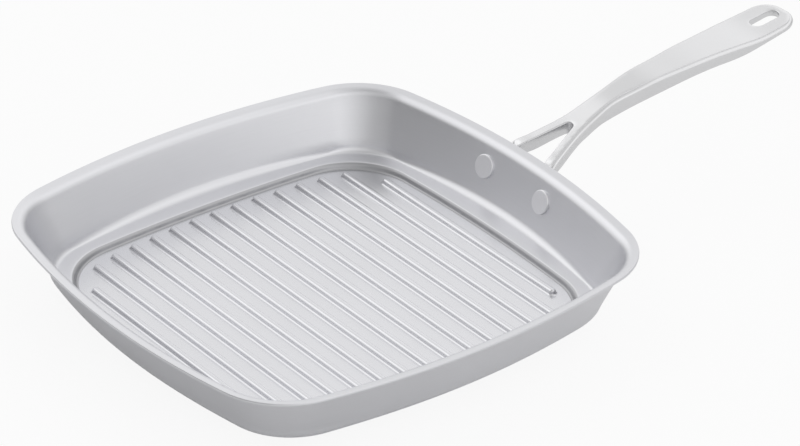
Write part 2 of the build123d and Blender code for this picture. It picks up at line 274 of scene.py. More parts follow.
class Section:
    # The shell's inner section: half width, height and slope, and the plan shape at each half width

    def __init__(self, s):
        self.s = s
        w, h, t = s.wall_slope, s.shoulder_slope, s.step_slope
        rise = s.wall_fillet * (math.cos(h) - math.cos(w))
        gap = self.wall(s.shoulder_height + rise) - s.wall_fillet * (math.sin(w) - math.sin(h)) - s.shoulder_half
        run = gap / (1 - math.tan(h) / math.tan(w))
        self.foot = (s.shoulder_half + run, s.shoulder_height + run * math.tan(h))
        self.fillet_top = self.foot[1] + rise
        self.step_top = (s.shoulder_half - s.shoulder_round * (math.sin(t) - math.sin(h)),
                         s.shoulder_height - s.shoulder_round * (math.cos(h) - math.cos(t)))
        low = s.floor_height + s.floor_bend * (1 - math.cos(t))
        self.step_foot = (self.step_top[0] - (self.step_top[1] - low) / math.tan(t), low)
        self.floor_half = self.step_foot[0] - s.floor_bend * math.sin(t)
        self.bend_top = s.rim_height - s.lip_rise
        self.bend_low = self.bend_top - s.lip_bend * (math.cos(s.lip_slope) - math.cos(w))
        self.halves = (s.shoulder_half, self.foot[0], self.wall(self.fillet_top), self.wall(self.bend_low),
                       s.rim_half)
        self.corners = (s.shoulder_corner, s.foot_corner, s.wall_corner, s.lip_corner, s.rim_corner)
        self.bends = (1 / s.shoulder_bow, 1 / s.foot_bow, 1 / s.wall_bow, 1 / s.lip_bow, 1 / s.rim_bow)

    def wall(self, z):
        return self.s.wall_half + (z - self.s.wall_level) / math.tan(self.s.wall_slope)

    def plan(self, half):
        # Corner radius and bow radius of the outline at a half width
        return float(np.interp(half, self.halves, self.corners)), 1 / float(np.interp(half, self.halves, self.bends))

    def arc(self, start, radius, first, last, count):
        sign = 1 if last > first else -1
        turns = [first + (last - first) * i / count for i in range(count + 1)]
        return [(start[0] + sign * radius * (math.sin(a) - math.sin(first)),
                 start[1] + sign * radius * (math.cos(first) - math.cos(a)), a) for a in turns]

    def straight(self, start, end, slope, count):
        return [(start[0] + (end[0] - start[0]) * i / count, start[1] + (end[1] - start[1]) * i / count, slope)
                for i in range(1, count + 1)]

    def points(self):
        # From the floor's edge up to the lip's edge
        s = self.s
        line = self.arc((self.floor_half, s.floor_height), s.floor_bend, 0, s.step_slope, FLOOR_BEND_STEPS)
        line += self.arc(self.step_top, s.shoulder_round, s.step_slope, s.shoulder_slope, CREST_STEPS)
        line += self.straight((s.shoulder_half, s.shoulder_height), self.foot, s.shoulder_slope, SHOULDER_STEPS)[:-1]
        line += self.arc(self.foot, s.wall_fillet, s.shoulder_slope, s.wall_slope, FILLET_STEPS)
        low, high = (self.wall(self.fillet_top), self.fillet_top), (self.wall(self.bend_low), self.bend_low)
        line += self.straight(low, high, s.wall_slope, WALL_STEPS)[:-1]
        line += self.arc(high, s.lip_bend, s.wall_slope, s.lip_slope, LIP_BEND_STEPS)
        line += self.straight(line[-1], (s.rim_half - s.rim_land, s.rim_height), s.lip_slope, LIP_STEPS)
        return line

    def ring(self, point, offset):
        # The outline at one point of the section, moved out by an offset
        half, z, slope = point
        corner, bow = self.plan(half)
        out = offset * math.sin(slope)
        z -= offset * math.cos(slope)
        return [(x, y, z) for x, y in bowed_square(half + out, bow + out, corner + out)]

    def spot(self, y, z, offset):
        # A point on the +X wall at a height of its inner face, moved out by an offset, and its normal
        s = self.s
        slope, half = s.wall_slope, self.wall(z)
        if z > self.bend_low:
            slope = math.acos(min(1, math.cos(slope) + (z - self.bend_low) / s.lip_bend))
            half = self.wall(self.bend_low) + s.lip_bend * (math.sin(s.wall_slope) - math.sin(slope))
        _, bow = self.plan(half)
        turn = math.asin(max(-1, min(1, y / bow)))
        normal = Vector((math.sin(slope) * math.cos(turn), math.sin(slope) * math.sin(turn), -math.cos(slope)))
        foot = Vector((half - bow + bow * math.cos(turn), bow * math.sin(turn), z))
        return foot + normal * offset, normal


def mesh_from(name, verts, faces, uvs=None):
    # A mesh from its points and faces, with a UV map where there is one
    mesh = bpy.data.meshes.new(name)
    mesh.from_pydata([tuple(v) for v in verts], [], faces)
    mesh.update()
    if uvs is not None:
        layer = mesh.uv_layers.new(name="surface")
        for loop in mesh.loops:
            layer.data[loop.index].uv = uvs[loop.vertex_index]
    return mesh


def finish_piece(name, mesh, material, nodes):
    # Puts a finished mesh in the scene as a piece that stands for CAD nodes
    mesh.materials.clear()
    mesh.materials.append(material)
    for polygon in mesh.polygons:
        polygon.use_smooth = True
    mesh.set_sharp_from_angle(angle=SMOOTH_UP_TO)
    mesh.validate()
    piece = bpy.data.objects.new(name, mesh)
    bpy.context.scene.collection.objects.link(piece)
    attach(piece, BODY)
    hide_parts(*nodes)
    return piece


class Skin:
    # Points and faces of a mesh, gathered from closed rings and filled ends

    def __init__(self):
        self.verts, self.faces = [], []

    def ring(self, points):
        # Adds points and gives back their numbers
        start = len(self.verts)
        self.verts += points
        return range(start, len(self.verts))

    def band(self, loops):
        # Quads between equal closed loops of points
        rings = [self.ring(loop) for loop in loops]
        for low, high in zip(rings, rings[1:]):
            for i in range(len(low)):
                j = (i + 1) % len(low)
                self.faces.append((low[i], low[j], high[j], high[i]))
        return rings

    def fill(self, loops, spacing, place, level):
        # An end face inside plan loops, each of its points placed at a level
        plan, tris = filled(loops, spacing)
        numbers = self.ring([place(*spot, level) for spot in plan])
        self.faces += [tuple(numbers[i] for i in tri) for tri in tris]


def recalculated(mesh, merge=WELD):
    # Merges doubles and turns all faces outwards
    bm = bmesh.new()
    bm.from_mesh(mesh)
    bmesh.ops.remove_doubles(bm, verts=bm.verts, dist=merge)
    bmesh.ops.recalc_face_normals(bm, faces=bm.faces)
    bm.to_mesh(mesh)
    bm.free()
    return mesh


class Nodes:
    # Short ways of adding nodes to a tree

    def __init__(self, tree):
        self.tree = tree

    def wire(self, node, feeds):
        # Feeds inputs of a node, by name or number, from sockets or with fixed values
        for key, value in feeds.items():
            if isinstance(value, bpy.types.NodeSocket):
                self.tree.links.new(value, node.inputs[key])
            else:
                node.inputs[key].default_value = value
        return node

    def add(self, kind, feeds=None, **settings):
        node = self.tree.nodes.new(kind)
        for key, value in settings.items():
            setattr(node, key, value)
        return self.wire(node, feeds or {})

    def math(self, operation, *terms, **settings):
        return self.add("ShaderNodeMath", dict(enumerate(terms)), operation=operation, **settings).outputs[0]

    def plus(self, first, second):
        return self.math("ADD", first, second)

    def minus(self, first, second):
        return self.math("SUBTRACT", first, second)

    def times(self, first, second):
        return self.math("MULTIPLY", first, second)

    def smooth(self, value, low, high, first=0.0):
        # Turns softly from a first value to 1 while the input goes from low to high
        node = self.add("ShaderNodeMapRange", {"Value": value, "From Min": low, "From Max": high, "To Min": first},
                        interpolation_type="SMOOTHSTEP")
        return node.outputs["Result"]

    def times_colour(self, first, second):
        # One colour multiplied by another
        node = self.add("ShaderNodeMix", {0: 1.0, 6: first, 7: second}, data_type="RGBA", blend_type="MULTIPLY")
        return node.outputs[2]

    def split(self, source):
        # The three parts of a vector
        return self.add("ShaderNodeSeparateXYZ", {0: source}).outputs

    def vector(self, x, y, z):
        return self.add("ShaderNodeCombineXYZ", {0: x, 1: y, 2: z}).outputs[0]

    def position(self):
        return self.split(self.add("GeometryNodeInputPosition").outputs[0])

    def stored(self, geometry, name, value):
        # A geometry that carries a named number on each point
        feeds = {"Geometry": geometry, "Name": name, "Value": value}
        node = self.add("GeometryNodeStoreNamedAttribute", feeds, data_type="FLOAT", domain="POINT")
        return node.outputs["Geometry"]

    def named(self, name):
        # The number that a point carries under a name
        return self.add("GeometryNodeInputNamedAttribute", {"Name": name}, data_type="FLOAT").outputs["Attribute"]


def new_group(name, kind, inputs, outputs):
    # A node group, what its input gives, and its output. An input is stated by its default, or by its kind
    # where it has none.
    tree = bpy.data.node_groups.new(name, kind)
    for label, value in inputs.items():
        socket = value if isinstance(value, str) else {int: "Int", float: "Float"}[type(value)]
        item = tree.interface.new_socket(name=label, in_out="INPUT", socket_type="NodeSocket" + socket)
        if socket != value:
            item.default_value = value
    for label, socket in outputs.items():
        tree.interface.new_socket(name=label, in_out="OUTPUT", socket_type="NodeSocket" + socket)
    n = Nodes(tree)
    return n, n.add("NodeGroupInput").outputs, n.add("NodeGroupOutput")


def new_material(name):
    # A material, its nodes and its main shader
    material = bpy.data.materials.new(name)
    material.use_nodes = True
    return material, Nodes(material.node_tree), material.node_tree.nodes["Principled BSDF"]


def grain_group():
    # Fine lines of a brushed or polished metal, with soft clouds over them
    n, given, out = new_group(
        "BrushedGrain", "ShaderNodeTree",
        {"Vector": "Vector", "Line Scale": 2500.0, "Cloud Scale": CLOUD_SCALE, "Roughness": 0.3,
         "Roughness Spread": 0.08, "Bump": 0.08, "Tone Spread": TONE_SPREAD},
        {"Tone": "Float", "Roughness": "Float", "Normal": "Vector"})
    lines = n.add("ShaderNodeTexNoise", {"Vector": given["Vector"], "Scale": given["Line Scale"],
                                         "Detail": 3.0, "Roughness": 0.6}).outputs["Fac"]
    clouds = n.add("ShaderNodeTexNoise", {"Vector": n.add("ShaderNodeTexCoord").outputs["Object"],
                                          "Scale": given["Cloud Scale"], "Detail": 2.0}).outputs["Fac"]
    both = n.plus(n.minus(lines, 0.5), n.minus(clouds, 0.5))
    bump = n.add("ShaderNodeBump", {"Distance": GRAIN_DEPTH, "Strength": given["Bump"], "Height": lines})
    n.wire(out, {"Tone": n.math("MULTIPLY_ADD", both, given["Tone Spread"], 1.0),
                 "Roughness": n.math("MULTIPLY_ADD", both, given["Roughness Spread"], given["Roughness"]),
                 "Normal": bump.outputs["Normal"]})
    return n.tree


def steel_material(name, colour_value, uv=False):
    # A satin metal whose fine lines run along the surface
    stretch, roughness, line_scale, bump, spread = FINISHES[name]
    material, n, shader = new_material(name)
    if uv:
        source = n.add("ShaderNodeUVMap", uv_map="surface").outputs["UV"]
    else:
        source = n.add("ShaderNodeTexCoord").outputs["Object"]
    mapping = n.add("ShaderNodeMapping", {"Vector": source, "Scale": stretch})
    group = bpy.data.node_groups.get("BrushedGrain") or grain_group()
    feeds = {"Vector": mapping.outputs["Vector"], "Line Scale": line_scale, "Roughness": roughness,
             "Roughness Spread": spread, "Bump": bump}
    grain = n.add("ShaderNodeGroup", feeds, node_tree=group)
    n.wire(shader, {"Metallic": 1.0, "Specular IOR Level": 0.5,
                    "Base Color": n.times_colour((*colour_value, 1), grain.outputs["Tone"]),
                    "Roughness": grain.outputs["Roughness"], "Normal": grain.outputs["Normal"]})
    return material


def paint_step_shade(material, s):
    # Painted shade: the step round the floor is darkened in its base colour from the floor's edge up to its crest,
    # standing in for the shade in that crease; its roughness stays as it is
    n = Nodes(material.node_tree)
    across = n.split(n.add("ShaderNodeUVMap", uv_map="surface").outputs["UV"])["Y"]
    tone = n.smooth(across, s.step_shade_band, s.step_shade_band + s.step_shade_fade, 1 - s.step_painted_shade)
    shader = material.node_tree.nodes["Principled BSDF"]
    full = shader.inputs["Base Color"].links[0].from_socket
    n.wire(shader, {"Base Color": n.times_colour(full, tone)})


def turned_group():
    # A round form standing on Z: bottom disc, straight side, foot arc, crown arc and flat top.
    # Each half of it carries a side of +1 or -1, so that the halves can be drawn apart.
    n, given, out = new_group(
        "TurnedForm", "GeometryNodeTree",
        {"Radius": 0.003, "Skirt": 0.0003, "Side": 0.0003, "Foot Round": 0.001, "Crown Round": 0.001,
         "Columns": 25, "Steps": 6},
        {"Mesh": "Geometry"})
    columns, radius, foot, crown = [given[label] for label in ("Columns", "Radius", "Foot Round", "Crown Round")]
    stages, quarter = 5, math.pi / 2
    wide = n.times(columns, 2.0)
    grid = n.add("GeometryNodeMeshGrid", {
        "Size X": wide, "Size Y": stages, "Vertices X": n.plus(wide, 1.0),
        "Vertices Y": n.math("MULTIPLY_ADD", given["Steps"], stages, 1.0)})
    place = n.position()
    column = n.math("MODULO", n.math("ROUND", n.plus(place["X"], columns)), wide)
    second = n.math("GREATER_THAN", n.plus(column, 0.5), columns)
    turn = n.times(n.minus(column, second), n.math("DIVIDE", math.pi, n.minus(columns, 1.0)))
    progress = n.plus(place["Y"], stages / 2)
    # Each share is 0 before its stage of the outline and rises to 1 at its end
    disc, upright, foot_arc, crown_arc, top = [n.math("SUBTRACT", progress, i, use_clamp=True)
                                               for i in range(stages)]
    foot_turn, crown_turn = n.times(foot_arc, quarter), n.times(crown_arc, quarter)
    r = n.minus(n.times(radius, disc), n.times(foot, n.math("SINE", foot_turn)))
    r = n.minus(r, n.times(crown, n.minus(1.0, n.math("COSINE", crown_turn))))
    r = n.minus(r, n.times(n.minus(n.minus(radius, foot), crown), top))
    z = n.plus(n.times(given["Side"], upright), n.times(foot, n.minus(1.0, n.math("COSINE", foot_turn))))
    z = n.minus(n.plus(z, n.times(crown, n.math("SINE", crown_turn))), given["Skirt"])
    spot = n.vector(n.times(r, n.math("COSINE", turn)), n.times(r, n.math("SINE", turn)), z)
    sided = n.stored(grid.outputs["Mesh"], "side", n.minus(1.0, n.times(second, 2.0)))
    move = n.add("GeometryNodeSetPosition", {"Geometry": sided, "Position": spot})
    n.wire(out, {"Mesh": move.outputs["Geometry"]})
    return n.tree


def applied_mesh(tree, values, name):
    # Runs a geometry tree with named values and gives back its plain mesh
    holder = bpy.data.objects.new(name, bpy.data.meshes.new(name))
    bpy.context.scene.collection.objects.link(holder)
    modifier = holder.modifiers.new("Shape", "NODES")
    modifier.node_group = tree
    for item in tree.interface.items_tree:
        if item.item_type == "SOCKET" and item.in_out == "INPUT" and item.name in values:
            modifier[item.identifier] = values[item.name]
    graph = bpy.context.evaluated_depsgraph_get()
    mesh = bpy.data.meshes.new_from_object(holder.evaluated_get(graph))
    bpy.data.objects.remove(holder)
    if not mesh.polygons:
        raise RuntimeError(name + " came out empty")
    return mesh


def turned_on_points(n, points, sizes, rotation=(0, 0, 0)):
    # Stands a turned form on each point, as a real mesh
    group = bpy.data.node_groups.get("TurnedForm") or turned_group()
    form = n.add("GeometryNodeGroup", sizes, node_tree=group)
    place = n.add("GeometryNodeInstanceOnPoints", {"Points": points, "Instance": form.outputs["Mesh"],
                                                   "Rotation": rotation})
    return n.add("GeometryNodeRealizeInstances", {"Geometry": place.outputs["Instances"]}).outputs["Geometry"]


def welded_paint(n, source, material):
    # Merges the doubles of a realized mesh and gives it its material
    weld = n.add("GeometryNodeMergeByDistance", {"Geometry": source, "Distance": WELD})
    paint = n.add("GeometryNodeSetMaterial", {"Geometry": weld.outputs["Geometry"], "Material": material})
    return paint.outputs["Geometry"]


def rib_tree(material):
    # Ribs in a row: a turned form on each point, its halves drawn apart to the rib's own reach
    n, given, out = new_group(
        "RibField", "GeometryNodeTree",
        {"Geometry": "Geometry", "Count": 15, "Pitch": 0.014, "Height": 0.003, "Crown Flat": 0.001,
         "Foot Round": 0.001, "Reach": 0.1, "Floor": 0.005, "Skirt": 0.0004},
        {"Geometry": "Geometry"})
    pitch, height, foot, skirt = [given[label] for label in ("Pitch", "Height", "Foot Round", "Skirt")]
    half_span = n.times(n.times(n.minus(given["Count"], 1.0), 0.5), pitch)
    start = n.vector(n.times(half_span, -1.0), 0.0, given["Floor"])
    line = n.add("GeometryNodeMeshLine", {"Count": given["Count"], "Start Location": start,
                                          "Offset": n.vector(pitch, 0.0, 0.0)}, mode="OFFSET")
    outward = n.math("DIVIDE", n.math("ABSOLUTE", n.position()["X"]), half_span)
    curve = n.add("ShaderNodeFloatCurve", {"Value": outward})
    points = curve.mapping.curves[0].points
    points[0].location = (0.0, RIB_REACH_SHARES[0])
    points[1].location = (1.0, RIB_REACH_SHARES[-1])
    for i, share in enumerate(RIB_REACH_SHARES[1:-1], 1):
        points.new(i / (len(RIB_REACH_SHARES) - 1), share)
    for point in points:
        point.handle_type = "VECTOR"
    curve.mapping.update()
    radius = n.plus(n.times(given["Crown Flat"], 0.5), height)
    reach = n.minus(n.times(curve.outputs["Value"], given["Reach"]), radius)
    row = turned_on_points(n, n.stored(line.outputs["Mesh"], "reach", reach), {
        "Radius": radius, "Skirt": skirt, "Side": skirt, "Foot Round": foot, "Crown Round": n.minus(height, foot),
        "Columns": RIB_COLUMNS, "Steps": RIB_STEPS})
    shift = n.vector(0.0, n.times(n.named("side"), n.named("reach")), 0.0)
    move = n.add("GeometryNodeSetPosition", {"Geometry": row, "Offset": shift})
    n.wire(out, {"Geometry": welded_paint(n, move.outputs["Geometry"], material)})
    return n.tree


def rivet_tree(material):
    # Turned heads on two points of the wall, square to it, each sunk or lifted along its own axis
    n, given, out = new_group(
        "RivetPair", "GeometryNodeTree",
        {"Geometry": "Geometry", "Across": 0.127, "Spread": 0.025, "Level": 0.028, "Axis X": 1.0, "Axis Y": 0.0,
         "Axis Z": 0.0, "Radius": 0.007, "Height": 0.002, "Edge Round": 0.0006, "Seat": 0.0001},
        {"Geometry": "Geometry"})
    across, spread, level, edge, seat = [given[label] for label in ("Across", "Spread", "Level", "Edge Round",
                                                                    "Seat")]
    line = n.add("GeometryNodeMeshLine", {
        "Count": 2, "Start Location": n.vector(across, n.times(spread, -1.0), level),
        "Offset": n.vector(across, spread, level)}, mode="END_POINTS")
    hand = n.math("SIGN", n.position()["Y"])
    axis = n.vector(given["Axis X"], n.times(given["Axis Y"], hand), given["Axis Z"])
    align = n.add("FunctionNodeAlignRotationToVector", {"Vector": axis}, axis="Z")
    pair = turned_on_points(n, line.outputs["Mesh"], {
        "Radius": given["Radius"], "Skirt": seat, "Side": n.minus(n.plus(given["Height"], seat), edge),
        "Foot Round": 0.0, "Crown Round": edge, "Columns": RIVET_COLUMNS, "Steps": RIVET_STEPS},
        align.outputs["Rotation"])
    n.wire(out, {"Geometry": welded_paint(n, pair, material)})
    return n.tree


def joined(name, meshes):
    # Several meshes as one
    bm = bmesh.new()
    for mesh in meshes:
        bm.from_mesh(mesh)
    out = bpy.data.meshes.new(name)
    bm.to_mesh(out)
    bm.free()
    return out


def ring_mesh(name, rings):
    # A closed mesh over equal rings and two end faces. Its UV map holds the distances round and across the rings.
    middle = rings[len(rings) // 2]
    around, across = [0.0], [0.0]
    for a, b in zip(middle, middle[1:]):
        around.append(around[-1] + math.dist(a, b))
    for low, high in zip(rings, rings[1:]):
        across.append(across[-1] + math.dist(low[0], high[0]))
    skin = Skin()
    first, *_, last = skin.band(rings)
    skin.faces += [tuple(reversed(first)), tuple(last)]
    uvs = [(place, level) for level in across for place in around]
    return recalculated(mesh_from(name, skin.verts, skin.faces, uvs))


class PAN_OT_shell(bpy.types.Operator):
    """Builds the pressed shell with its lip, wall, shoulder, floor and ribs"""
    bl_idname = "pan.shell"
    bl_label = "Pan shell"

    def execute(self, context):
        s, ribs = context.scene.pan_shell, context.scene.pan_ribs
        section = Section(s)
        line = section.points()
        rings = [section.ring(point, 0) for point in line]
        edge = line[-1]
        for share in EDGE_SHARES:
            drop = share * s.sheet * math.cos(s.lip_slope)
            out = s.rim_land * math.sin(math.pi / 2 * min(1, share / EDGE_SHARES[1]))
            corner, bow = section.plan(edge[0])
            rings.append([(x, y, edge[1] - drop) for x, y in bowed_square(edge[0] + out, bow + out, corner + out)])
        rings += [section.ring(point, s.sheet) for point in reversed(line[:-1])]
        body = ring_mesh("pan_shell_body", rings)
        material = steel_material("shell_steel_satin", s.steel, uv=True)
        # Painted shade darkens the step round the floor
        paint_step_shade(material, s)
        floor = steel_material("floor_steel_satin", s.steel)
        values = {"Count": ribs.count, "Pitch": ribs.pitch, "Height": ribs.height, "Crown Flat": ribs.flat,
                  "Foot Round": ribs.foot_round, "Reach": ribs.reach, "Floor": s.floor_height}
        row = recalculated(applied_mesh(rib_tree(floor), values, "rib_row"))
        mesh = joined("pan_shell_visual", [body, row])
        finish_piece("pan_shell_visual", mesh, material, ["pan_shell"])
        mesh.materials.append(floor)
        for polygon in mesh.polygons:
            x, y, z = polygon.center
            flat = max(abs(x), abs(y)) < section.floor_half and z < s.shoulder_height
            top = len(polygon.vertices) > 4 and z > s.floor_height - s.sheet / 2
            if flat and (polygon.index >= len(body.polygons) or top):
                polygon.material_index = 1
        return {"FINISHED"}


class PAN_OT_sole(bpy.types.Operator):
    """Builds the steel sole and finishes the aluminium plate sealed in it"""
    bl_idname = "pan.sole"
    bl_label = "Sole and sealed plate"

    def execute(self, context):
        s, shell = context.scene.pan_sole, context.scene.pan_shell
        top = shell.floor_height - shell.sheet

        def ring(inset, z):
            return [(x, y, z) for x, y in bowed_square(s.half - inset, s.bow - inset, s.corner - inset)]

        inner = s.edge_round - s.sheet
        turns = quarter_turns(SOLE_STEPS)
        rings = [ring(s.edge_round * (1 - math.sin(a)), s.edge_round * (1 - math.cos(a))) for a in turns]
        rings += [ring(0, top), ring(s.sheet, top)]
        rings += [ring(s.sheet + inner * (1 - math.sin(a)), s.sheet + inner * (1 - math.cos(a)))
                  for a in reversed(turns)]
        material = steel_material("sole_steel_brushed", s.steel)
        mesh = ring_mesh("base_cap_visual", rings)
        finish_piece("base_cap_visual", mesh, material, ["base_cap"])
        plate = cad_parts["base_core"]
        plate.data.materials.clear()
        plate.data.materials.append(steel_material("core_aluminium_rolled", s.aluminium))
        return {"FINISHED"}


class PAN_OT_rivets(bpy.types.Operator):
    """Builds the heads and upset tails of both rivets"""
    bl_idname = "pan.rivets"
    bl_label = "Rivets"

    def execute(self, context):
        s, shell, handle = context.scene.pan_rivets, context.scene.pan_shell, context.scene.pan_handle
        section = Section(shell)
        material = steel_material("rivet_steel_satin", s.steel)
        tree = rivet_tree(material)
        inner, normal = section.spot(s.spread, shell.wall_level, 0)
        outer, _ = section.spot(s.spread, shell.wall_level, shell.sheet + handle.plate)
        parts = []
        for place, sign, radius, height, rounding in (
                (inner, -1, s.head_radius, s.head_height, s.head_round),
                (outer, 1, s.tail_radius, s.tail_height, s.tail_round)):
            values = {"Across": place.x, "Spread": place.y, "Level": place.z, "Axis X": sign * normal.x,
                      "Axis Y": sign * normal.y, "Axis Z": sign * normal.z, "Radius": radius,
                      "Height": height, "Edge Round": rounding, "Seat": s.seat}
            parts.append(recalculated(applied_mesh(tree, values, "rivet_ends")))
        finish_piece("rivets_visual", joined("rivets_visual", parts), material,
                     ["rivet_left", "rivet_right"])
        return {"FINISHED"}


def smooth_line(xs, ys):
    # Natural cubic through the stations, as a function
    xs, ys = np.array(xs), np.array(ys)
    n = len(xs)
    h = np.diff(xs)
    a = np.zeros((n, n))
    b = np.zeros(n)
    a[0, 0] = a[-1, -1] = 1
    for i in range(1, n - 1):
        a[i, i - 1], a[i, i], a[i, i + 1] = h[i - 1], 2 * (h[i - 1] + h[i]), h[i]
        b[i] = 6 * ((ys[i + 1] - ys[i]) / h[i] - (ys[i] - ys[i - 1]) / h[i - 1])
    m = np.linalg.solve(a, b)

    def read(x):
        i = int(np.clip(np.searchsorted(xs, x) - 1, 0, n - 2))
        t, w = x - xs[i], h[i]
        return float(ys[i] + t * ((ys[i + 1] - ys[i]) / w - w * (2 * m[i] + m[i + 1]) / 6)
                     + t * t * m[i] / 2 + t ** 3 * (m[i + 1] - m[i]) / (6 * w))
    return read


class HandleForm:
    # The handle's plan, top line and depth along X, and the loops of its plan

    def __init__(self, s):
        self.s = s
        xs = [s.first_x + (s.tip_x - s.first_x) * share for share in STATION_SHARES]
        rise = s.tip_top - s.first_top
        self.top = smooth_line(xs, [s.first_top + rise * share for share in TOP_SHARES])
        self.half = smooth_line(xs, [s.width * share / 2 for share in WIDTH_SHARES])
        self.depth = smooth_line(xs, [s.depth * share for share in DEPTH_SHARES])

    def closed(self, half, count):
        # A loop from its upper half, closed by a row of points across the end nearest the wall
        x, y = half[0]
        back = [(px, -py) for px, py in reversed(half[:-1])]
        return half + back + [(x, across) for across in np.linspace(-y, y, count)[1:-1]]

    def outer(self, extra):
        # Closed plan loop, wider than the flat top by an extra
        s = self.s
        radius = s.tip_corner + extra
        turn_x = s.tip_x - s.shoulder + extra - radius
        side = [(x, self.half(x) + extra) for x in np.linspace(s.first_x, turn_x, BAR_POINTS)]
        level = side[-1][1] - radius
        corner = [(turn_x + radius * math.sin(a), level + radius * math.cos(a))
                  for a in np.linspace(0, math.pi / 2, CORNER_POINTS)[1:]]
        tip = [(turn_x + radius, y) for y in np.linspace(level, 0, TIP_POINTS)[1:]]
        return self.closed(side + corner + tip, FOOT_POINTS)

    def opening(self, extra):
        # Closed loop of the opening between the legs
        s = self.s
        foot = s.opening_foot_half + extra
        near = s.opening_foot_x - extra
        centre = s.fork_x - s.fork_radius
        radius = s.fork_radius + extra
        slant = math.atan2(foot - radius, centre - near)
        touch = (centre + radius * math.sin(slant), radius * math.cos(slant))
        leg = [(near + (touch[0] - near) * t, foot + (touch[1] - foot) * t) for t in np.linspace(0, 1, LEG_POINTS)]
        bend = [(centre + radius * math.sin(a), radius * math.cos(a))
                for a in np.linspace(slant, math.pi / 2, BEND_POINTS)[1:]]
        return self.closed(leg + bend, OPENING_POINTS)

    def hole(self, extra):
        # Closed loop of the hang hole
        s = self.s
        radius = s.hole_width / 2 + extra
        reach = (s.hole_length - s.hole_width) / 2
        turns = np.linspace(-math.pi / 2, math.pi / 2, HOLE_POINTS)
        right = [(s.hole_x + reach + radius * math.cos(a), radius * math.sin(a)) for a in turns]
        left = [(s.hole_x - reach - radius * math.cos(a), radius * math.sin(a)) for a in reversed(turns)]
        return right + left


def filled(loops, spacing):
    # Triangles that fill the first loop and leave out the others, with inner points on a regular grid
    points, edges = [], []
    for loop in loops:
        start = len(points)
        n = len(loop)
        points += [Vector(p) for p in loop]
        edges += [(start + i, start + (i + 1) % n) for i in range(n)]
    ring = [np.array(loop) for loop in loops]
    every = np.vstack(ring)

    def inside(loop, p):
        x, y = loop[:, 0], loop[:, 1]
        x2, y2 = np.roll(x, -1), np.roll(y, -1)
        hit = (y > p[1]) != (y2 > p[1])
        cross = x + (p[1] - y) / np.where(y2 == y, 1, y2 - y) * (x2 - x)
        return int(np.sum(hit & (p[0] < cross))) % 2 == 1

    def within(p):
        return inside(ring[0], p) and not any(inside(hole, p) for hole in ring[1:])

    low, high = ring[0].min(0), ring[0].max(0)
    for x in np.arange(low[0] + spacing / 2, high[0], spacing):
        for y in np.arange(low[1] + spacing / 2, high[1], spacing):
            near = np.min((every[:, 0] - x) ** 2 + (every[:, 1] - y) ** 2)
            if near >= (spacing * EDGE_GAP_SHARE) ** 2 and within((x, y)):
                points.append(Vector((x, y)))
    verts, _, tris, _, _, _ = delaunay_2d_cdt(points, edges, [], 0, FILL_PRECISION)
    keep = [tuple(tri) for tri in tris
            if within((sum(verts[i].x for i in tri) / 3, sum(verts[i].y for i in tri) / 3))]
    return [(v.x, v.y) for v in verts], keep


def handle_mesh(s, shell):
    # The casting: rings up its outer side, its opening and its hang hole, and filled top and underside
    form = HandleForm(s)
    section = Section(shell)

    def place(x, y, level):
        base, share, drop = level
        z = form.top(x) - drop
        if base == "low":
            z += min(s.belly, form.depth(x) * THIN_SHARE) * share - form.depth(x)
        if base == "body":
            z -= s.land_height
        return [x, y, z]

    # Each level is how far the loop stands out from the flat top's, and its height
    outer_levels, inner_levels = [], []
    for a in quarter_turns(LOWER_STEPS):
        rise = 1 - math.cos(a)
        outer_levels.append((s.shoulder - s.belly * (1 - math.sin(a)), ("low", rise, 0)))
        inner_levels.append((s.opening_round * (1 - math.sin(a)), ("low", rise * OPENING_LIFT_SHARE, 0)))
    for a in quarter_turns(UPPER_STEPS):
        outer_levels.append((s.shoulder - s.upper_round * (1 - math.cos(a)),
                             ("body", 0, s.upper_round * (1 - math.sin(a)))))
    for a in quarter_turns(OPENING_STEPS):
        inner_levels.append((s.opening_round * (1 - math.cos(a)), ("land", 0, s.opening_round * (1 - math.sin(a)))))
    # The small step up to the flat top, with its edge rounded in three turns
    outer_levels.append((s.land_round / 4, ("body", 0, 0)))
    outer_levels.append((0, ("land", 0, s.land_round)))
    outer_levels.append((-s.land_round / 3, ("land", 0, s.land_round / 4)))
    outer_levels.append((-s.land_round, ("land", 0, 0)))

    skin = Skin()
    for maker, levels in ((form.outer, outer_levels), (form.opening, inner_levels), (form.hole, inner_levels)):
        skin.band([[place(x, y, level) for x, y in maker(extra)] for extra, level in levels])
    for index in (0, -1):
        extra, level = outer_levels[index]
        inset = inner_levels[index][0]
        skin.fill([form.outer(extra), form.opening(inset), form.hole(inset)], CAST_FILL, place, level)

    # Under the lip the casting stays clear of the lip and ends on the outer face of the wall
    up_wall = np.linspace(section.fillet_top, section.bend_top, WALL_POINTS)
    reach = [section.spot(0, z, shell.sheet)[0] for z in up_wall]
    levels_up, halves_up = [foot.z for foot in reach], [foot.x for foot in reach]
    for v in skin.verts:
        x, y, z = v
        if x < shell.rim_half + s.lip_gap + s.shoulder:
            sag = y * y / (2 * shell.lip_bow)
            if x < shell.rim_half - sag + s.lip_gap:
                fall = (shell.rim_half - sag - x) * math.tan(shell.lip_slope)
                z = min(z, shell.rim_height - shell.sheet - s.lip_gap - fall)
            v[0] = max(x, float(np.interp(z, levels_up, halves_up)) - sag)
            v[2] = z
    return recalculated(mesh_from("handle_bar", skin.verts, skin.faces), CAST_WELD)


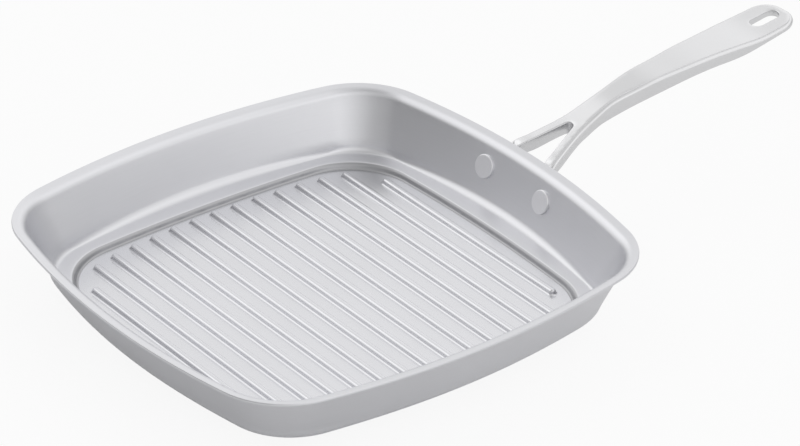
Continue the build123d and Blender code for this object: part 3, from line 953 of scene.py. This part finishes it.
def plate_mesh(s, shell):
    # The plate against the wall, following its bow, with a round outer edge
    section = Section(shell)
    middle = (s.plate_low + s.plate_high) / 2
    wide = s.plate_half - s.plate_corner
    high = (s.plate_high - s.plate_low) / 2 - s.plate_corner
    points = []
    for across, up, start in ((1, 1, 0), (-1, 1, 90), (-1, -1, 180), (1, -1, 270)):
        for a in quarter_turns(PLATE_POINTS - 1):
            a += math.radians(start)
            points.append((across * wide + s.plate_corner * math.cos(a),
                           middle + up * high + s.plate_corner * math.sin(a)))
    base = []
    for (y, z), (y2, z2) in zip(points, points[1:] + points[:1]):
        steps = max(1, int(math.hypot(y2 - y, z2 - z) / PLATE_FILL))
        base += [(y + (y2 - y) * t / steps, z + (z2 - z) * t / steps) for t in range(steps)]

    def shrunk(inset):
        # The outline moved in, corner arcs and all
        share = 1 - inset / s.plate_corner
        out = []
        for y, z in base:
            cy = max(-wide, min(wide, y))
            cz = middle + max(-high, min(high, z - middle))
            out.append((cy + (y - cy) * share, cz + (z - cz) * share))
        return out

    def place(y, z, lift):
        return tuple(section.spot(y, z, shell.sheet + lift)[0])

    sizes = [(0.0, 0.0)]
    sizes += [(s.plate_round * (1 - math.cos(a)), s.plate - s.plate_round * (1 - math.sin(a)))
              for a in quarter_turns(PLATE_STEPS)]
    skin = Skin()
    skin.band([[place(y, z, lift) for y, z in shrunk(inset)] for inset, lift in sizes])
    for inset, lift in (sizes[0], sizes[-1]):
        skin.fill([shrunk(inset)], PLATE_FILL, place, lift)
    return recalculated(mesh_from("handle_plate", skin.verts, skin.faces), CAST_WELD)


class PAN_OT_handle(bpy.types.Operator):
    """Builds the cast handle with its fork, hang hole and plate"""
    bl_idname = "pan.handle"
    bl_label = "Handle"

    def execute(self, context):
        s, shell = context.scene.pan_handle, context.scene.pan_shell
        material = steel_material("handle_steel_satin", s.steel)
        mesh = joined("handle_visual", [handle_mesh(s, shell), plate_mesh(s, shell)])
        finish_piece("handle_visual", mesh, material, ["handle"])
        return {"FINISHED"}


def floor_material(s):
    # A pale floor that shows as white to the camera and keeps a soft shadow, and shows in the metal with a painted
    # glow that grows whiter toward its right
    material, n, shader = new_material("studio_floor")
    n.wire(shader, {"Base Color": (*s.floor_tone, 1), "Roughness": 0.9, "Specular IOR Level": 0.1})
    white = n.add("ShaderNodeEmission", {"Strength": 1.0})
    path = n.add("ShaderNodeLightPath").outputs
    seen = n.times(path["Is Camera Ray"], s.floor_white)
    place = n.split(n.add("ShaderNodeTexCoord").outputs["Object"])
    # Painted light: the floor glows whiter in the metal toward its right, as if lit more from there
    right = n.smooth(n.minus(place["X"], place["Y"]), -s.floor_turn, s.floor_turn)
    in_metal = n.math("MAXIMUM", path["Is Glossy Ray"], path["Is Transmission Ray"])
    painted_glow = n.times(n.times(in_metal, right), s.floor_glow_right)
    mix = n.add("ShaderNodeMixShader", {0: n.math("MAXIMUM", seen, painted_glow), 1: shader.outputs["BSDF"],
                                        2: white.outputs["Emission"]})
    n.wire(material.node_tree.nodes["Material Output"], {"Surface": mix.outputs["Shader"]})
    return material


def soft_light_group():
    # 1 in the middle of a soft round patch of the surroundings, falling to 0 at its edge
    n, given, out = new_group(
        "SoftLight", "ShaderNodeTree",
        {"Direction": "Vector", "Toward": "Vector", "Edge": 0.7, "Strength": 1.0}, {"Light": "Float"})
    toward = n.add("ShaderNodeVectorMath", {0: given["Direction"], 1: given["Toward"]}, operation="DOT_PRODUCT")
    soft = n.smooth(toward.outputs["Value"], given["Edge"], 1.0)
    n.wire(out, {"Light": n.times(soft, given["Strength"])})
    return n.tree


def studio_world(s):
    # Soft lights round the pan over a low even light, white where the camera looks past the pan
    world = bpy.data.worlds.new("studio")
    world.use_nodes = True
    n = Nodes(world.node_tree)
    direction = n.add("ShaderNodeTexCoord").outputs["Generated"]
    group = soft_light_group()
    light = s.fill
    for azimuth, level, spread, strength in SOFT_LIGHTS:
        a, e = math.radians(azimuth), math.radians(level)
        toward = (math.cos(e) * math.cos(a), math.cos(e) * math.sin(a), math.sin(e))
        feeds = {"Direction": direction, "Toward": toward, "Edge": math.cos(math.radians(spread)),
                 "Strength": strength * s.lights}
        soft = n.add("ShaderNodeGroup", feeds, node_tree=group)
        light = n.plus(soft.outputs["Light"], light)
    past_pan = n.add("ShaderNodeLightPath").outputs["Is Camera Ray"]
    mix = n.add("ShaderNodeMix", {0: past_pan, 2: light, 3: 1.0}, data_type="FLOAT")
    n.wire(world.node_tree.nodes["Background"], {"Color": (1, 1, 1, 1), "Strength": mix.outputs[0]})
    return world


class PAN_OT_stage(bpy.types.Operator):
    """Makes the floor, the light and the camera"""
    bl_idname = "pan.stage"
    bl_label = "Studio"

    def execute(self, context):
        s = context.scene.pan_studio
        reach = s.floor_reach
        corners = [(-reach, -reach, 0), (reach, -reach, 0), (reach, reach, 0), (-reach, reach, 0)]
        mesh = mesh_from("studio_floor", corners, [(0, 1, 2, 3)])
        floor = bpy.data.objects.new("studio_floor", mesh)
        context.scene.collection.objects.link(floor)
        mesh.materials.append(floor_material(s))
        context.scene.world = studio_world(s)

        data = bpy.data.cameras.new("camera")
        camera = bpy.data.objects.new("camera", data)
        context.scene.collection.objects.link(camera)
        data.lens = s.lens
        data.clip_start, data.clip_end = 0.05, 50
        a, e = s.azimuth, s.height
        back = Vector((math.sin(a) * math.cos(e), -math.cos(a) * math.cos(e), math.sin(e)))
        camera.location = Vector(s.target) + back * s.distance
        camera.rotation_mode = "QUATERNION"
        camera.rotation_quaternion = (-back).to_track_quat("-Z", "Y")
        context.scene.camera = camera
        context.scene.view_settings.view_transform = "Standard"
        return {"FINISHED"}


OPERATORS = (PAN_OT_shell, PAN_OT_sole, PAN_OT_rivets, PAN_OT_handle, PAN_OT_stage)


class PAN_PT_builder(bpy.types.Panel):
    bl_label = "Grill pan"
    bl_idname = "PAN_PT_builder"
    bl_space_type = "VIEW_3D"
    bl_region_type = "UI"
    bl_category = "Grill pan"

    def draw(self, context):
        for operator in OPERATORS:
            self.layout.operator(operator.bl_idname)


GROUPS = (("pan_shell", ShellSizes), ("pan_ribs", RibSizes), ("pan_sole", SoleSizes),
          ("pan_rivets", RivetSizes), ("pan_handle", HandleSizes), ("pan_studio", StudioSizes))


def register():
    for name, group in GROUPS:
        bpy.utils.register_class(group)
        setattr(bpy.types.Scene, name, bpy.props.PointerProperty(type=group))
    for item in (*OPERATORS, PAN_PT_builder):
        bpy.utils.register_class(item)


def unregister():
    for item in reversed((*OPERATORS, PAN_PT_builder)):
        bpy.utils.unregister_class(item)
    for name, group in reversed(GROUPS):
        delattr(bpy.types.Scene, name)
        bpy.utils.unregister_class(group)


def main():
    register()
    bpy.ops.pan.shell()
    bpy.ops.pan.sole()
    bpy.ops.pan.rivets()
    bpy.ops.pan.handle()
    bpy.ops.pan.stage()


if __name__ == "__main__":
    main()
